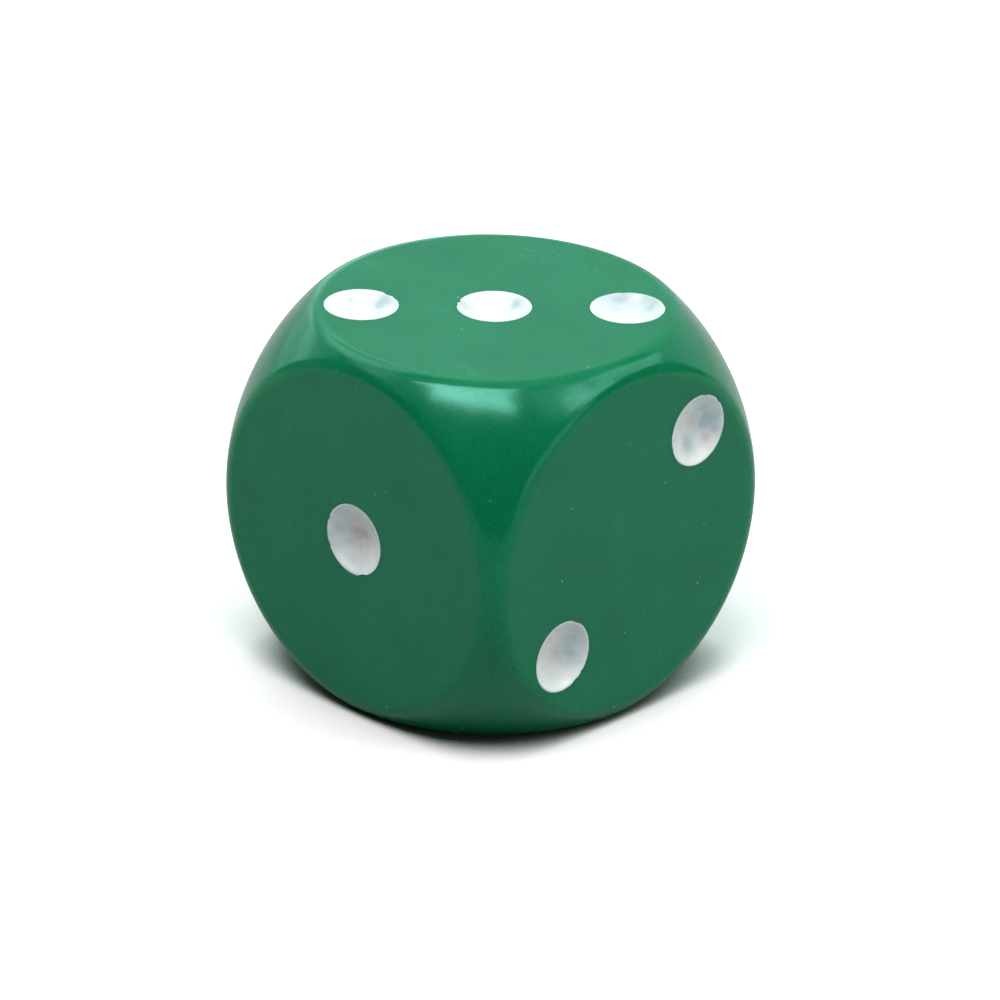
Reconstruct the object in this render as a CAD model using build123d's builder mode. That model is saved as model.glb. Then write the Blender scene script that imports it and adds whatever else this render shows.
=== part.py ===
"""A six-sided gaming die with rounded corners and white-painted pips.

The body is one solid plastic moulding: a cube turned down by a sphere that takes its corners and just
clears its edges, with the round rim of each face rolled over by a small radius. Each of its 21 pips is
a shallow ball-cut dimple, and each dimple holds its own spot of white paint, thin up the wall and
pooled on the floor.

The origin is at the centre of the face that the die rests on, the four. +Z points up to the three,
-Y is the front, with the one, and +X is the right side, with the two. Opposite faces add up to
seven, and one, two, three run counter-clockwise about their shared corner. All sizes are in
millimetres.
"""

from build123d import *
from math import isclose, sqrt
import os

# The body
edge_length = 16.0
corner_sphere_diameter = 21.84  # turns off the eight corners, and just clears the edges
edge_radius = 0.9  # rolls over the round rim of each face

# The pips
pip_diameter = 3.1
pip_pitch = 3.86  # from the middle of a face to its outer rows and columns of pips
dimple_depth = 0.65
mouth_radius = 0.05  # softens the edge where a dimple meets the face

# The paint in a dimple
paint_lip_drop = 0.02  # the paint stops this far under the face
paint_lip_width = 0.07
paint_floor_thickness = 0.1

half_edge = edge_length / 2
pip_radius = pip_diameter / 2


def cap_radius(rim_radius, depth):
    """The radius of the ball that cuts a cap with this rim radius and this depth."""
    return (rim_radius**2 + depth**2) / (2 * depth)


# The ball that cuts a dimple, and how high its centre stands over the face
cutter_radius = cap_radius(pip_radius, dimple_depth)
cutter_height = cutter_radius - dimple_depth

# Where the pips of each face stand, as steps of pip_pitch along the face's own x and y
corner_pair = [(-1, -1), (1, 1)]
other_pair = [(-1, 1), (1, -1)]
middle = [(0, 0)]
side_pair = [(-1, 0), (1, 0)]
pip_steps = {
    "one": middle,
    "two": corner_pair,
    "three": corner_pair + middle,
    "four": corner_pair + other_pair,
    "five": corner_pair + other_pair + middle,
    "six": corner_pair + other_pair + side_pair,
}

# Each face's plane, with its z axis pointing out of the die
body_centre = Vector(0, 0, half_edge)


def face_plane(outward, along):
    """The plane of the face whose normal is outward, with its x axis along the given direction."""
    return Plane(origin=body_centre + Vector(outward) * half_edge, x_dir=along, z_dir=outward)


face_planes = {
    "one": face_plane((0, -1, 0), (1, 0, 0)),
    "two": face_plane((1, 0, 0), (0, 1, 0)),
    "three": face_plane((0, 0, 1), (1, 0, 0)),
    "four": face_plane((0, 0, -1), (1, 0, 0)),
    "five": face_plane((-1, 0, 0), (0, -1, 0)),
    "six": face_plane((0, 1, 0), (-1, 0, 0)),
}


def pip_places(value):
    """The middle of each pip on the face of this value, in the face's own x and y."""
    return [(x * pip_pitch, y * pip_pitch) for x, y in pip_steps[value]]


def build_body():
    """The moulded body: a smaller cube turned down by a ball, grown by the edge radius, then dimpled."""
    core_edge = edge_length - 2 * edge_radius
    core_sphere_radius = corner_sphere_diameter / 2 - edge_radius
    with BuildPart() as body:
        with Locations(body_centre):
            Box(core_edge, core_edge, core_edge)
            Sphere(core_sphere_radius, mode=Mode.INTERSECT)
        offset(amount=edge_radius, kind=Kind.ARC)

        for value, plane in face_planes.items():
            cutters = [plane.location * Pos(x, y, cutter_height) for x, y in pip_places(value)]
            with Locations(*cutters):
                Sphere(cutter_radius, mode=Mode.SUBTRACT)
        mouths = body.edges().filter_by(GeomType.CIRCLE)
        fillet(mouths.filter_by(lambda edge: isclose(edge.radius, pip_radius, abs_tol=1e-4)), mouth_radius)
    return body


def build_pip_paint(plane, x, y):
    """The paint in the dimple at x, y of a face: a thin dish that lines the dimple, thickest on its floor."""
    centre = plane.from_local_coords((x, y, 0))
    profile_plane = Plane(origin=centre, x_dir=plane.x_dir, z_dir=-plane.y_dir)
    lip_height = cutter_height + paint_lip_drop
    lip_outer = (sqrt(cutter_radius**2 - lip_height**2), -paint_lip_drop)
    lip_inner = (lip_outer[0] - paint_lip_width, -paint_lip_drop)
    dish_depth = dimple_depth - paint_floor_thickness
    dish_radius = cap_radius(lip_inner[0], dish_depth - paint_lip_drop)
    with BuildPart() as paint:
        with BuildSketch(profile_plane):
            with BuildLine():
                wall = RadiusArc((0, -dimple_depth), lip_outer, -cutter_radius)
                Line(lip_outer, lip_inner)
                dish = RadiusArc(lip_inner, (0, -dish_depth), dish_radius)
                Line(dish @ 1, wall @ 0)
            make_face()
        revolve(axis=Axis(centre, plane.z_dir))
    return paint


def export(piece, name):
    """Labels a finished piece and writes it as parts/name.step."""
    piece.part.label = name
    export_step(piece.part, f"parts/{name}.step")


os.makedirs("parts", exist_ok=True)
export(build_body(), "die_body")
for value, plane in face_planes.items():
    for number, (x, y) in enumerate(pip_places(value), start=1):
        export(build_pip_paint(plane, x, y), f"pip_paint_{value}_{number}")
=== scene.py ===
"""The looks of a rounded-corner gaming die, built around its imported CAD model.

The CAD body gives way to a finer mesh of the same shape, and each CAD paint spot to a film of enamel
with a ragged lip and an uneven surface. Everything is in metres, in the CAD model's frame.
"""

from math import asin, atan, cos, degrees, exp, pi, radians, sin, sqrt

import bmesh
import bpy
from mathutils import Matrix, Vector, noise
from mathutils.geometry import delaunay_2d_cdt


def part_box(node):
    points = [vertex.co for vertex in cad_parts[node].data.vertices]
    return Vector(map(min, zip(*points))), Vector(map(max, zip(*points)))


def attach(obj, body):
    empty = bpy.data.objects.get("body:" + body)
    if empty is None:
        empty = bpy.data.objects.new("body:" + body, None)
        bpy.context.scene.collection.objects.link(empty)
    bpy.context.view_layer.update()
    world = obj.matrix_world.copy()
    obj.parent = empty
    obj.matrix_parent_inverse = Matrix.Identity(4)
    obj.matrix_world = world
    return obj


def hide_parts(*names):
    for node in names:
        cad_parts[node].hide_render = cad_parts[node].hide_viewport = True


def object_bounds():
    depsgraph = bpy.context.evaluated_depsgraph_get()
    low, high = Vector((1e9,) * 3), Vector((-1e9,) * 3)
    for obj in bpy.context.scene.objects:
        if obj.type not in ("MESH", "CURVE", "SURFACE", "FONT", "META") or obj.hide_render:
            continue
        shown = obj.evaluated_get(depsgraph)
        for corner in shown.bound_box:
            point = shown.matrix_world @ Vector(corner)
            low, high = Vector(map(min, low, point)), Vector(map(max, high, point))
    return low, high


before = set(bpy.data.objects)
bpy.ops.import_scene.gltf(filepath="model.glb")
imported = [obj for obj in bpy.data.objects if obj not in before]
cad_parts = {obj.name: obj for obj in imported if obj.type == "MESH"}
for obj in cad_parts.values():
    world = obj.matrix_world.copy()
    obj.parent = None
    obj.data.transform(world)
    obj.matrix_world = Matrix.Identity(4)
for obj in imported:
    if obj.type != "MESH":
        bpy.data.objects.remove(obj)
cad_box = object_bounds()

MM = 0.001

# The body, as part.py has it
corner_sphere_radius = 10.92 * MM
edge_radius = 0.9 * MM
dimple_depth = 0.65 * MM
dimple_radius = 1.55 * MM
mouth_radius = 0.05 * MM

low, high = (Vector(corner) for corner in cad_box)
centre = (low + high) / 2
half_edge = (high.x - low.x) / 2

# The round flat part of each face, and the lean of the rolled edge where it runs into the sphere
flat_height = half_edge - edge_radius
flat_radius = sqrt((corner_sphere_radius - edge_radius) ** 2 - flat_height**2)
roll_angle = atan(flat_radius / flat_height)

# The ball that cuts each dimple, and the rounded mouth between the dimple and the face
cutter_radius = (dimple_radius**2 + dimple_depth**2) / (2 * dimple_depth)
cutter_height = cutter_radius - dimple_depth
mouth_reach = sqrt((cutter_radius + mouth_radius) ** 2 - (cutter_height + mouth_radius) ** 2)
mouth_angle = asin(mouth_reach / (cutter_radius + mouth_radius))

# The paint
paint_reach = 1.556 * MM  # from the middle of a dimple to the paint's lip
flush_depth = 0.006 * MM  # the paint stays this far under the face
wall_film = 0.045 * MM
floor_film = 0.1 * MM
film_buried = 0.004 * MM  # how far the back of the paint goes into the plastic
lip_blend = 0.03 * MM  # rounds the paint off where it meets its own limit under the face

# Mesh densities
rim_steps = 256  # round each face, and a multiple of 8 so that neighbouring faces meet
roll_steps = 14  # over the rolled edge
ball_steps = 10  # from the rolled edge to the neighbouring faces
mouth_steps = 96  # round each dimple
mouth_roll_steps = 6  # over the rounded mouth of a dimple
dimple_steps = 14  # from the mouth of a dimple to its bottom
film_steps = 22  # from a paint spot's lip to its middle
fill_spacing = 0.4 * MM  # between the vertices of a flat part
guard = 0.01 * MM  # width of the ring that keeps a flat part's shading flat up to its rims

# Each face's outward direction and the direction of its own x axis
faces = {
    "one": ((0, -1, 0), (1, 0, 0)),
    "two": ((1, 0, 0), (0, 1, 0)),
    "three": ((0, 0, 1), (1, 0, 0)),
    "four": ((0, 0, -1), (1, 0, 0)),
    "five": ((-1, 0, 0), (0, -1, 0)),
    "six": ((0, 1, 0), (-1, 0, 0)),
}


def face_matrix(face):
    """The turn and shift that takes a face's own frame, at the die's centre, to the row frame."""
    outward, along = (Vector(direction) for direction in faces[face])
    turn = Matrix((along, outward.cross(along), outward)).transposed()
    return Matrix.Translation(centre) @ turn.to_4x4()


def paint_nodes(face):
    """The CAD paint spots of a face."""
    return sorted(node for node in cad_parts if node.startswith(f"pip_paint_{face}_"))


def pip_place(node, face):
    """The middle of a paint spot in its face's own x and y."""
    lowest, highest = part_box(node)
    place = face_matrix(face).inverted() @ ((lowest + highest) / 2)
    return Vector((place.x, place.y))


def new_object(name, mesh):
    """A mesh object with smooth shading, in the scene."""
    mesh.shade_smooth()
    made = bpy.data.objects.new(name, mesh)
    bpy.context.scene.collection.objects.link(made)
    return made


# ---- The body ----


def roll_point(turn, step):
    """A point on a face's rim, its rolled edge or its share of the sphere, in the face's own frame."""
    outward = Vector((cos(turn), sin(turn), 0))
    up = Vector((0, 0, 1))
    if step <= roll_steps:
        lean = roll_angle * step / roll_steps
        rim = outward * flat_radius + up * flat_height
        return rim + (outward * sin(lean) + up * cos(lean)) * edge_radius
    neighbour_lean = atan(1 / max(abs(outward.x), abs(outward.y)))
    lean = roll_angle + (neighbour_lean - roll_angle) * (step - roll_steps) / ball_steps
    return (outward * sin(lean) + up * cos(lean)) * corner_sphere_radius


def dimple_profile():
    """Distances from a dimple's axis and heights over the face, from the mouth to near the bottom."""
    profile = [(mouth_reach + guard, 0)]
    for step in range(mouth_roll_steps + 1):
        lean = mouth_angle * step / mouth_roll_steps
        profile.append((mouth_reach - mouth_radius * sin(lean), mouth_radius * (cos(lean) - 1)))
    for step in range(1, dimple_steps):
        lean = mouth_angle * (1 - step / dimple_steps)
        profile.append((cutter_radius * sin(lean), cutter_height - cutter_radius * cos(lean)))
    return profile


def circle(mesh, middle, reach, height, steps):
    """A ring of new vertices round a place of a face."""
    turns = [2 * pi * i / steps for i in range(steps)]
    return [mesh.verts.new((middle.x + reach * cos(t), middle.y + reach * sin(t), height)) for t in turns]


def add_bands(mesh, rings):
    """Quads between one closed ring of vertices and the next."""
    for inner, outer in zip(rings, rings[1:]):
        for i in range(len(inner)):
            j = (i + 1) % len(inner)
            mesh.faces.new((inner[i], outer[i], outer[j], inner[j]))


def add_flat_part(mesh, rim, mouths, places):
    """Triangles on a face's flat part, from its rim in to the mouths of its dimples."""
    loops = [rim] + mouths
    points = [vertex.co.xy for loop in loops for vertex in loop]
    edges = []
    for loop in loops:
        start = len(edges)
        edges += [(start + i, start + (i + 1) % len(loop)) for i in range(len(loop))]
    hole = mouth_reach + guard
    room = fill_spacing / 2
    rows = int(flat_radius / fill_spacing) + 1
    for row in range(-rows, rows + 1):
        for column in range(-rows, rows + 1):
            spot = Vector((column + row % 2 / 2, row * sqrt(3) / 2)) * fill_spacing
            clear = all((spot - place).length > hole + room for place in places)
            if clear and spot.length < flat_radius - guard - room:
                points.append(spot)
    found, _, triangles, origins, _, _ = delaunay_2d_cdt(points, edges, [], 0, 1e-9)
    vertices = [vertex for loop in loops for vertex in loop]
    height = rim[0].co.z
    made = []
    for spot, origin in zip(found, origins):
        if origin and origin[0] < len(vertices):
            made.append(vertices[origin[0]])
        else:
            made.append(mesh.verts.new((spot.x, spot.y, height)))
    for triangle in triangles:
        middle = sum((found[i] for i in triangle), Vector((0, 0))) / 3
        in_hole = any((middle - place).length < hole for place in places)
        if middle.length < flat_radius - guard and not in_hole:
            mesh.faces.new([made[i] for i in triangle])


def face_mesh(face):
    """One face of the body in its own frame: flat part, dimples and its share of the rounding."""
    mesh = bmesh.new()
    flat_rim = circle(mesh, Vector((0, 0)), flat_radius - guard, half_edge, rim_steps)
    rings = [flat_rim]
    for step in range(roll_steps + ball_steps + 1):
        rings.append([mesh.verts.new(roll_point(2 * pi * i / rim_steps, step)) for i in range(rim_steps)])
    add_bands(mesh, rings)
    mouths = []
    places = [pip_place(node, face) for node in paint_nodes(face)]
    for place in places:
        dimple = [
            circle(mesh, place, reach, half_edge + height, mouth_steps) for reach, height in dimple_profile()
        ]
        add_bands(mesh, dimple[::-1])
        bottom = mesh.verts.new((place.x, place.y, half_edge - dimple_depth))
        last = dimple[-1]
        for i in range(mouth_steps):
            mesh.faces.new((bottom, last[i], last[(i + 1) % mouth_steps]))
        mouths.append(dimple[0])
    add_flat_part(mesh, flat_rim, mouths, places)
    return mesh


def build_body():
    """The whole moulding as one closed mesh."""
    whole = bmesh.new()
    for face in faces:
        part = face_mesh(face)
        part.transform(face_matrix(face))
        mesh = bpy.data.meshes.new("face")
        part.to_mesh(mesh)
        part.free()
        whole.from_mesh(mesh)
        bpy.data.meshes.remove(mesh)
    bmesh.ops.remove_doubles(whole, verts=whole.verts, dist=1e-7)
    bmesh.ops.recalc_face_normals(whole, faces=whole.faces)
    mesh = bpy.data.meshes.new("die_moulding")
    whole.to_mesh(mesh)
    whole.free()
    return new_object("die_moulding", mesh)


# ---- The paint ----

# Chips in the lips of the paint spots: where round the spot in degrees, how wide, and how deep in mm
chips = {
    "pip_paint_three_1": [(88, 15, 0.06), (70, 7, 0.03), (300, 9, 0.03)],
    "pip_paint_three_2": [(352, 9, 0.06), (20, 6, 0.05), (140, 10, 0.04)],
    "pip_paint_three_3": [(207, 8, 0.08), (222, 6, 0.05), (335, 7, 0.05)],
    "pip_paint_one_1": [(160, 8, 0.04), (205, 6, 0.05), (290, 16, 0.05)],
    "pip_paint_two_1": [(300, 9, 0.035), (318, 5, 0.03), (60, 14, 0.04)],
    "pip_paint_two_2": [(75, 12, 0.05), (40, 8, 0.04), (195, 7, 0.05)],
}

# Blue-grey patches, partly thin paint and partly painted shade where a dish wall faces the dark room:
# where round the spot in degrees, then how far from its middle and how wide as shares of its radius,
# and how strong
cool_stains_and_painted_shade = {
    "pip_paint_three_1": [(85, 0.71, 0.24, 1.2), (157, 0.71, 0.12, 0.6)],
    "pip_paint_three_2": [(162, 0.83, 0.42, 0.8), (86, 0.79, 0.3, 1.1), (130, 0.85, 0.25, 0.5)],
    "pip_paint_three_3": [(85, 0.71, 0.16, 1.3), (205, 0.84, 0.3, 0.5)],
    "pip_paint_one_1": [(191, 0.73, 0.42, 0.8), (268, 0.62, 0.4, 0.4)],
    "pip_paint_two_1": [(337, 0.58, 0.26, 1.0), (37, 0.63, 0.34, 0.7), (3, 0.87, 0.3, 0.5)],
    "pip_paint_two_2": [
        (257, 0.47, 0.2, 1.1),
        (1, 0.52, 0.28, 0.8),
        (353, 0.72, 0.36, 0.6),
        (48, 0.56, 0.3, 0.6),
    ],
}
# Warm patches, a painted reflection of the room in the dishes: the same columns as the table above
painted_warm_reflections = {
    "pip_paint_one_1": [(180, 0.09, 0.38, 1.1)],
    "pip_paint_two_1": [(320, 0.13, 0.3, 0.6)],
    "pip_paint_two_2": [(0, 0, 0.26, 0.4), (320, 0.66, 0.12, 1.0), (345, 0.8, 0.1, 0.7)],
}


seed_step = 1.7  # from one spot's seed to the next


def dimple_height(reach):
    """The height of the bare dimple at a distance from its axis, over the face."""
    if reach > mouth_reach - mouth_radius * sin(mouth_angle):
        inset = min(mouth_reach - reach, mouth_radius)
        return sqrt(mouth_radius**2 - max(inset, 0) ** 2) - mouth_radius
    return cutter_height - sqrt(cutter_radius**2 - reach**2)


def smooth_lower(a, b, blend):
    """The lower of two heights, with the corner between them rounded off."""
    overlap = max(blend - abs(a - b), 0) / blend
    return min(a, b) - overlap**2 * blend / 4


def lip_reach(turn, seed, marks):
    """How far a paint spot reaches at a turn: a ragged circle with chips out of it."""
    around = Vector((cos(turn), sin(turn), 0))
    wander = noise.noise(around * 1.3 + Vector((0, 0, seed))) * 0.014
    ragged = noise.noise(around * 9 + Vector((0, 0, seed + 5))) * 0.011
    fringe = noise.noise(around * 30 + Vector((0, 0, seed + 9))) * 0.007
    reach = paint_reach + (wander + ragged + fringe - 0.012) * MM
    for angle, width, depth in marks:
        apart = (degrees(turn) - angle + 180) % 360 - 180
        jag = 1 + 0.5 * noise.noise(around * 22 + Vector((0, 0, seed + 13)))
        reach -= depth * MM * jag * exp(-((2 * apart / width) ** 4))
    return reach


def film_thickness(place, share, seed):
    """How thick the paint is at a place of a spot, and at a share of the way out to its lip."""
    pooled = 1 - min(max((share - 0.15) / 0.6, 0), 1) ** 1.5
    film = wall_film + (floor_film - wall_film) * pooled
    lumps = noise.noise(place / MM * 1.1 + Vector((0, 0, seed + 20))) * 0.32
    ripple = noise.noise(place / MM * 4.0 + Vector((0, 0, seed + 30))) * 0.1
    return film * (1 + lumps + ripple)


def stain_and_painted_light(place, stains, seed):
    """How strong a spot's stains, painted shade and painted reflections are at a place, with ragged edges.
    """
    ragged = 1 + 0.6 * noise.noise(place / MM * 2.5 + Vector((0, 0, seed + 40)))
    total = 0
    for angle, distance, width, strength in stains:
        middle = Vector((cos(radians(angle)), sin(radians(angle)), 0)) * distance * paint_reach
        total += strength * ragged * exp(-(((place - middle).length / (width * paint_reach)) ** 2))
    return total


def some_chips(seed):
    """Chips for a spot that has none of its own in the table, spread about by its seed."""
    return [(seed * 97 % 360, 9, 0.05), (seed * 211 % 360, 6, 0.06), (seed * 53 % 360, 14, 0.04)]


def some_stains_and_painted_light(seed, count, strength):
    """Stain and painted-light patches for a spot with none in the tables, spread about by its seed."""
    starts = [seed * (37 + 61 * i) for i in range(count)]
    return [(start * 7 % 360, 0.2 + start % 0.5, 0.15 + start * 3 % 0.25, strength) for start in starts]


def paint_vertex(mesh, place, share, seed, cool, warm):
    """A vertex on top of a paint spot, which knows the paint's thickness, stains and painted light there."""
    bare = dimple_height(place.length)
    slope = sqrt(cutter_radius**2 - place.length**2) / cutter_radius
    film = film_thickness(place, share, seed)
    top = smooth_lower(bare + film / slope, -flush_depth, lip_blend)
    vertex = mesh.verts.new((place.x, place.y, top))
    layers = mesh.verts.layers.float
    vertex[layers["film"]] = (top - bare) * slope / floor_film
    vertex[layers["cool"]] = stain_and_painted_light(place, cool, seed)
    vertex[layers["warm"]] = stain_and_painted_light(place, warm, seed)
    return vertex


def build_paint(name, seed, marks, cool, warm):
    """A spot of paint as a closed film in its face's own frame, about its dimple's axis."""
    mesh = bmesh.new()
    # cool: thin paint and painted shade; warm: a painted reflection
    for layer in ("film", "cool", "warm"):
        mesh.verts.layers.float.new(layer)
    turns = [2 * pi * i / mouth_steps for i in range(mouth_steps)]
    lips = [Vector((cos(turn), sin(turn), 0)) * lip_reach(turn, seed, marks) for turn in turns]
    shares = [0.997, 0.992] + [1 - (step / film_steps) ** 1.35 for step in range(1, film_steps)]

    def buried_ring(share):
        heights = [dimple_height(lip.length * share) - film_buried for lip in lips]
        return [mesh.verts.new((lip.x * share, lip.y * share, height)) for lip, height in zip(lips, heights)]

    rim = buried_ring(1)
    front = [[paint_vertex(mesh, lip * share, share, seed, cool, warm) for lip in lips] for share in shares]
    back = [buried_ring(share) for share in shares[2::3]]
    add_bands(mesh, front[::-1] + [rim] + back)
    front_middle = paint_vertex(mesh, Vector((0, 0, 0)), 0, seed, cool, warm)
    back_middle = mesh.verts.new((0, 0, -dimple_depth - film_buried))
    for middle, ring in ((front_middle, front[-1]), (back_middle, back[-1])):
        for i in range(mouth_steps):
            mesh.faces.new((middle, ring[i], ring[(i + 1) % mouth_steps]))
    bmesh.ops.recalc_face_normals(mesh, faces=mesh.faces)
    data = bpy.data.meshes.new(name)
    mesh.to_mesh(data)
    mesh.free()
    return data


def add_paint_spots(enamel):
    """Every paint spot, in its dimple, in place of its CAD node."""
    seed = 0
    for face in faces:
        for node in paint_nodes(face):
            seed += seed_step
            marks = chips.get(node, some_chips(seed))
            # Blue-grey patches of thin paint and painted shade, and warm patches of painted reflection
            cool = cool_stains_and_painted_shade.get(node) or some_stains_and_painted_light(seed, 3, 0.7)
            warm = painted_warm_reflections.get(node, [] if node in cool_stains_and_painted_shade else some_stains_and_painted_light(seed + 5, 1, 0.6))
            name = node.replace("pip_paint", "enamel")
            mesh = build_paint(name, seed, marks, cool, warm)
            place = pip_place(node, face)
            mesh.transform(face_matrix(face) @ Matrix.Translation((place.x, place.y, half_edge)))
            spot = new_object(name, mesh)
            spot.data.materials.append(enamel)
            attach(spot, "root")
            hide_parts(node)


# ---- Materials ----

plastic_green = (0.002, 0.16, 0.065)
speck_green = (0.3, 0.55, 0.42, 1)
enamel_white = (0.73, 0.75, 0.74, 1)
enamel_grey = (0.62, 0.68, 0.7, 1)
# Blue-grey of thin paint and of the painted shade on the pips' dark walls
cool_stain_and_shade_colour = (0.34, 0.46, 0.52, 1)
# Warm tint of the painted reflection of the room in the pips
warm_reflection_colour = (0.4, 0.32, 0.3, 1)
thin_film_green = (0.25, 0.5, 0.42, 1)  # the plastic, seen through the paint


def new_material(name):
    """A material, its node tree and its Principled shader."""
    material = bpy.data.materials.new(name)
    material.use_nodes = True
    tree = material.node_tree
    return material, tree, tree.nodes["Principled BSDF"]


def add_node(tree, kind, inputs, **settings):
    """A new node, with each of its named inputs either set to a value or linked to another node."""
    node = tree.nodes.new(f"ShaderNode{kind}")
    for name, value in settings.items():
        setattr(node, name, value)
    for name, value in inputs.items():
        if isinstance(value, bpy.types.NodeSocket):
            tree.links.new(value, node.inputs[name])
        else:
            node.inputs[name].default_value = value
    return node


def noise_value(tree, place, per_mm, detail):
    """Noise of about this many features to the millimetre."""
    inputs = {"Vector": place, "Scale": per_mm / MM, "Detail": detail}
    return add_node(tree, "TexNoise", inputs).outputs["Fac"]


def remap(tree, value, low, high, to_low, to_high):
    """A value's share of the way from low to high, as a share of the way from to_low to to_high."""
    inputs = {"Value": value, "From Min": low, "From Max": high, "To Min": to_low, "To Max": to_high}
    return add_node(tree, "MapRange", inputs).outputs["Result"]


def calculate(tree, operation, a, b):
    """The result of a calculation with two values."""
    return add_node(tree, "Math", {0: a, 1: b}, operation=operation).outputs[0]


def blend_colours(tree, factor, a, b):
    """Colour a, turned into colour b by a factor. Either may be a link or a plain colour."""
    inputs = {0: factor, 6: a, 7: b}
    return add_node(tree, "Mix", inputs, data_type="RGBA").outputs[2]


def hairlines(tree, place, turn):
    """1 along sparse fine scratches that all run much the same way, and 0 between them."""
    inputs = {"Vector": place, "Rotation": turn, "Scale": (0.12, 1, 1)}
    drawn_out = add_node(tree, "Mapping", inputs).outputs["Vector"]
    off_middle = calculate(tree, "SUBTRACT", noise_value(tree, drawn_out, 2.5, 3), 0.5)
    ridges = calculate(tree, "ABSOLUTE", off_middle, 0)
    patchy = remap(tree, noise_value(tree, place, 0.3, 1), 0.52, 0.66, 0, 1)
    return calculate(tree, "MULTIPLY", remap(tree, ridges, 0.001, 0.004, 1, 0), patchy)


def vertex_value(tree, layer):
    """The value that a mesh's vertices carry in one of their layers."""
    return add_node(tree, "Attribute", {}, attribute_name=layer).outputs["Fac"]


def object_place(tree):
    """Where a point is in its object, which turns and moves with the die."""
    return tree.nodes.new("ShaderNodeTexCoord").outputs["Object"]


def green_plastic():
    """Moulded plastic: cloudy pigment with a grain and pale specks in it, and a handled surface."""
    material, tree, shader = new_material("green_plastic")
    place = object_place(tree)
    clouds = noise_value(tree, place, 0.3, 3)
    grain = noise_value(tree, place, 7, 2)
    cloudy = remap(tree, clouds, 0.3, 0.7, 0.93, 1.07)
    grainy = remap(tree, grain, 0.3, 0.7, 0.9, 1.1)
    pigment = {0: plastic_green, "Scale": calculate(tree, "MULTIPLY", cloudy, grainy)}
    green = add_node(tree, "VectorMath", pigment, operation="SCALE").outputs[0]
    cells = add_node(tree, "TexVoronoi", {"Vector": place, "Scale": 0.7 / MM})
    chance = add_node(tree, "SeparateColor", {"Color": cells.outputs["Color"]}).outputs["Red"]
    dot = remap(tree, cells.outputs["Distance"], 0.02, 0.045, 0.8, 0)
    speck = calculate(tree, "MULTIPLY", dot, chance)
    colour = blend_colours(tree, speck, green, speck_green)
    tree.links.new(colour, shader.inputs["Base Color"])

    one_way = hairlines(tree, place, (0.4, 0.3, 0.9))
    another_way = hairlines(tree, place, (1.1, 0.5, 2.3))
    scratches = calculate(tree, "MAXIMUM", one_way, another_way)
    smudges = remap(tree, noise_value(tree, place, 0.22, 4), 0.35, 0.65, 0.15, 0.21)
    roughness = calculate(tree, "ADD", smudges, calculate(tree, "MULTIPLY", scratches, 0.08))
    tree.links.new(roughness, shader.inputs["Roughness"])

    peel = noise_value(tree, place, 0.8, 1)
    height = calculate(tree, "ADD", peel, calculate(tree, "MULTIPLY", grain, 0.08))
    height = calculate(tree, "SUBTRACT", height, calculate(tree, "MULTIPLY", scratches, 0.1))
    bump = add_node(tree, "Bump", {"Height": height, "Distance": 0.004 * MM})
    tree.links.new(bump.outputs["Normal"], shader.inputs["Normal"])

    shader.inputs["IOR"].default_value = 1.49
    shader.inputs["Specular Tint"].default_value = (0.33, 1, 0.84, 1)
    shader.inputs["Subsurface Weight"].default_value = 1
    shader.inputs["Subsurface Radius"].default_value = (0.1, 1, 0.5)
    shader.inputs["Subsurface Scale"].default_value = 1.5 * MM
    return material


def white_paint():
    """Brushed-in enamel, green where thin, with stains, painted shade and reflections, specks and lumps."""
    material, tree, shader = new_material("white_paint")
    place = object_place(tree)
    uneven = noise_value(tree, place, 2.2, 4)
    cool = calculate(tree, "MULTIPLY", vertex_value(tree, "cool"), remap(tree, uneven, 0.3, 0.7, 0.7, 1.3))
    warm = calculate(tree, "MULTIPLY", vertex_value(tree, "warm"), remap(tree, uneven, 0.3, 0.7, 1.3, 0.7))
    film = vertex_value(tree, "film")
    colour = blend_colours(tree, remap(tree, uneven, 0.4, 0.75, 0, 0.5), enamel_white, enamel_grey)
    # Blue-grey patches are partly thin paint and partly painted shade; warm ones a painted reflection
    colour = blend_colours(tree, remap(tree, cool, 0, 1.1, 0, 0.85), colour, cool_stain_and_shade_colour)
    colour = blend_colours(tree, remap(tree, warm, 0, 1.1, 0, 0.75), colour, warm_reflection_colour)
    colour = blend_colours(tree, remap(tree, film, 0.02, 0.2, 0.6, 0), colour, thin_film_green)
    tree.links.new(colour, shader.inputs["Base Color"])

    fine = noise_value(tree, place, 9, 2)
    patchy = remap(tree, uneven, 0.3, 0.7, 0.18, 0.34)
    roughness = calculate(tree, "ADD", patchy, calculate(tree, "MULTIPLY", fine, 0.06))
    tree.links.new(roughness, shader.inputs["Roughness"])
    height = calculate(tree, "ADD", uneven, calculate(tree, "MULTIPLY", fine, 0.1))
    bump = add_node(tree, "Bump", {"Height": height, "Distance": 0.03 * MM})
    tree.links.new(bump.outputs["Normal"], shader.inputs["Normal"])
    return material


# ---- Studio ----

camera_azimuth = radians(43.87)  # from the front round to the right
camera_elevation = radians(25.24)
camera_roll = radians(1.21)
camera_distance = 0.48
camera_lens = 418.7  # in mm, on a sensor 36 mm wide
aim_right = 0.048 * half_edge  # from the die's centre to the middle of the picture
aim_down = 0.089 * half_edge

floor_half_side = 3.0
paper_white = (1, 0.95, 0.96)  # to the camera
paper_bounce = (0.45, 0.45, 0.45)  # to everything else
# Painted shadow: the floor's colour close under the die
painted_contact_shadow = (0.16, 0.2, 0.17, 1)  # close under the die
room_dark = (0.05, 0.05, 0.05)

power_per_radiance = 4  # of a panel of one square metre

# Colours of the panels. Some of those at the back and the left are mint.
white = (1, 1, 1)
mint = (0.62, 1, 0.92)
pale_mint = (0.75, 1, 0.95)

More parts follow.
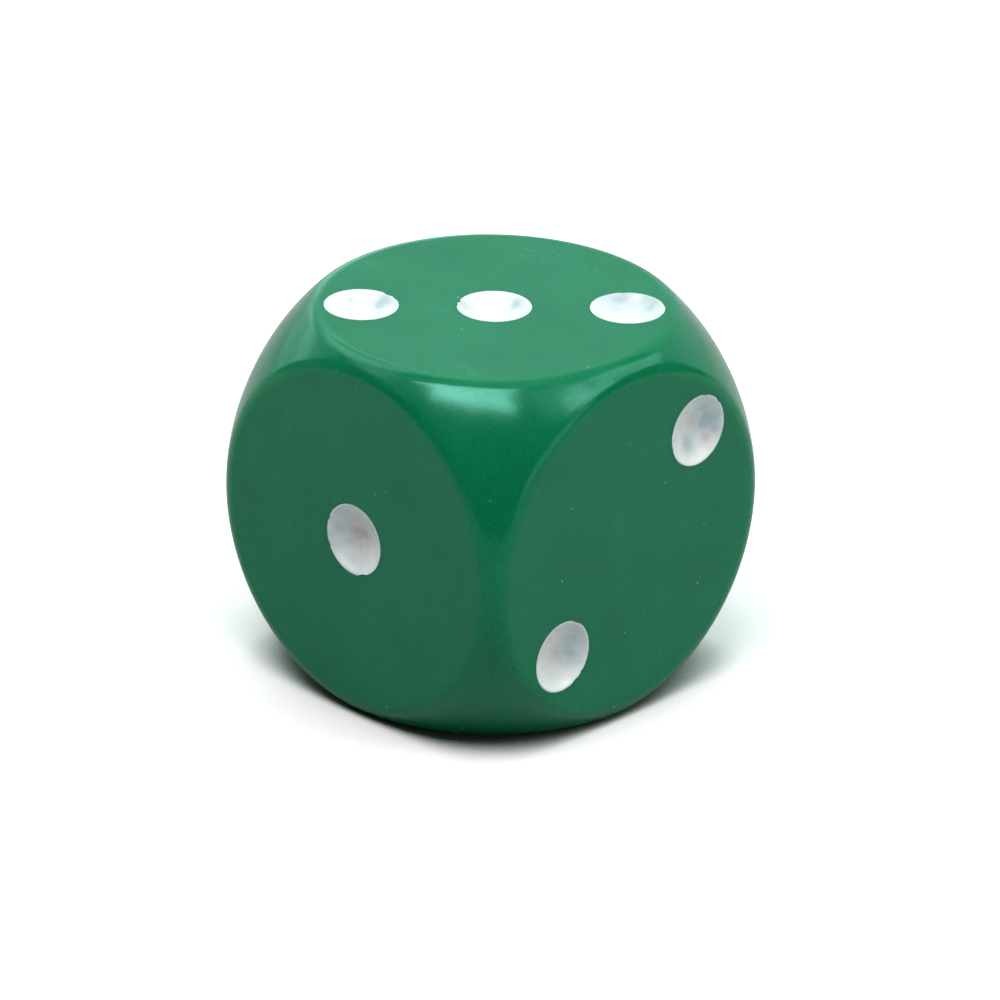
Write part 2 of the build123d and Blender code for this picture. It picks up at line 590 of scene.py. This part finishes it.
# Soft panels: azimuth and elevation in degrees, distance, width and height in metres, radiance, colour.
# Azimuth 0 is the front, and 90 the right side.
panels = {
    "overhead": (0, 89.9, 0.6, 0.4, 0.4, 0.75, white),
    "key": (22, 69, 0.6, 0.36, 0.13, 8, white),
    "key_edge": (4, 61, 0.6, 0.34, 0.035, 8, white),
    "key_front": (28, 60.5, 0.6, 0.38, 0.035, 14, white),
    "back_high": (190, 60, 0.7, 0.9, 0.3, 0.5, pale_mint),
    "backdrop": (205, 20, 0.8, 1.1, 0.62, 0.58, mint),
    "left_back": (-108, 46, 0.75, 0.65, 0.42, 0.75, mint),
    "left_high": (-75, 50, 0.7, 0.6, 0.3, 1.1, white),
    "left": (-95, 24, 0.75, 0.55, 0.35, 0.65, mint),
    "left_low": (-108, 10, 0.8, 0.8, 0.28, 0.8, mint),
    "left_front": (-60, 8, 0.8, 0.3, 0.22, 0.2, white),
    "front_left": (-35, 42, 0.7, 0.3, 0.3, 0.3, white),
    "right": (118, 38, 0.6, 0.22, 0.24, 3.1, white),
    "right_edge": (106, 50, 0.6, 0.14, 0.1, 3.5, white),
    "right_high": (110, 58, 0.6, 0.4, 0.15, 1.2, white),
    "right_back": (152, 42, 0.7, 0.35, 0.4, 1.9, pale_mint),
    "right_low": (95, 12, 0.7, 0.5, 0.25, 0.85, white),
}


def add_camera():
    """A long lens, a little above the die, looking at its corner between the one and the two."""
    level = cos(camera_elevation)
    back = Vector((sin(camera_azimuth) * level, -cos(camera_azimuth) * level, sin(camera_elevation)))
    right = Vector((cos(camera_azimuth), sin(camera_azimuth), 0))
    up = back.cross(right)
    tilted_right = right * cos(camera_roll) + up * sin(camera_roll)
    tilted_up = up * cos(camera_roll) - right * sin(camera_roll)
    data = bpy.data.cameras.new("camera")
    data.sensor_width = 36
    data.lens = camera_lens
    data.clip_start = 0.01
    data.clip_end = 10
    camera = bpy.data.objects.new("camera", data)
    aim = centre + tilted_right * aim_right - tilted_up * aim_down
    turn = Matrix((tilted_right, tilted_up, back)).transposed()
    camera.matrix_world = Matrix.Translation(aim + back * camera_distance) @ turn.to_4x4()
    bpy.context.scene.collection.objects.link(camera)
    bpy.context.scene.camera = camera


def add_panel(name, azimuth, elevation, distance, width, height, radiance, colour):
    """A rectangular soft light that faces the die."""
    a, e = radians(azimuth), radians(elevation)
    direction = Vector((sin(a) * cos(e), -cos(a) * cos(e), sin(e)))
    data = bpy.data.lights.new(name, "AREA")
    data.shape = "RECTANGLE"
    data.size = width
    data.size_y = height
    data.energy = radiance * width * height * power_per_radiance
    data.color = colour
    light = bpy.data.objects.new(name, data)
    turn = direction.to_track_quat("Z", "Y").to_matrix().to_4x4()
    light.matrix_world = Matrix.Translation(centre + direction * distance) @ turn
    light.visible_camera = False
    bpy.context.scene.collection.objects.link(light)


def camera_switch(tree, seen, otherwise):
    """A colour that is one thing to the camera and another to everything else."""
    path = tree.nodes.new("ShaderNodeLightPath")
    mix = tree.nodes.new("ShaderNodeMix")
    mix.data_type = "RGBA"
    tree.links.new(path.outputs["Is Camera Ray"], mix.inputs["Factor"])
    mix.inputs[6].default_value = (*otherwise, 1)
    mix.inputs[7].default_value = (*seen, 1)
    return mix.outputs[2]


def add_floor():
    """White paper, with a painted shadow close under the die, and darker to all but the camera."""
    side = floor_half_side
    corners = [(-side, -side, 0), (side, -side, 0), (side, side, 0), (-side, side, 0)]
    mesh = bpy.data.meshes.new("floor")
    mesh.from_pydata(corners, [], [(0, 1, 2, 3)])
    floor = bpy.data.objects.new("floor", mesh)
    material, tree, shader = new_material("paper")
    paper = camera_switch(tree, paper_white, paper_bounce)
    # Ambient occlusion blends the painted contact shadow into the paper close under the die
    ao_for_painted_shadow = add_node(tree, "AmbientOcclusion", {"Distance": half_edge}, samples=8).outputs["AO"]
    colour = blend_colours(tree, remap(tree, ao_for_painted_shadow, 0.27, 0.56, 0, 1), painted_contact_shadow, paper)
    tree.links.new(colour, shader.inputs["Base Color"])
    shader.inputs["Roughness"].default_value = 1
    shader.inputs["Specular IOR Level"].default_value = 0
    mesh.materials.append(material)
    bpy.context.scene.collection.objects.link(floor)


def add_world():
    """White to the camera, and nearly dark to everything else."""
    world = bpy.data.worlds.new("room")
    bpy.context.scene.world = world
    world.use_nodes = True
    tree = world.node_tree
    colour = camera_switch(tree, white, room_dark)
    tree.links.new(colour, tree.nodes["Background"].inputs["Color"])


body = build_body()
body.data.materials.append(green_plastic())
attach(body, "root")
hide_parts("die_body")
add_paint_spots(white_paint())

add_camera()
add_floor()
add_world()
for name, settings in panels.items():
    add_panel(name, *settings)

bpy.context.scene.view_settings.view_transform = "Standard"
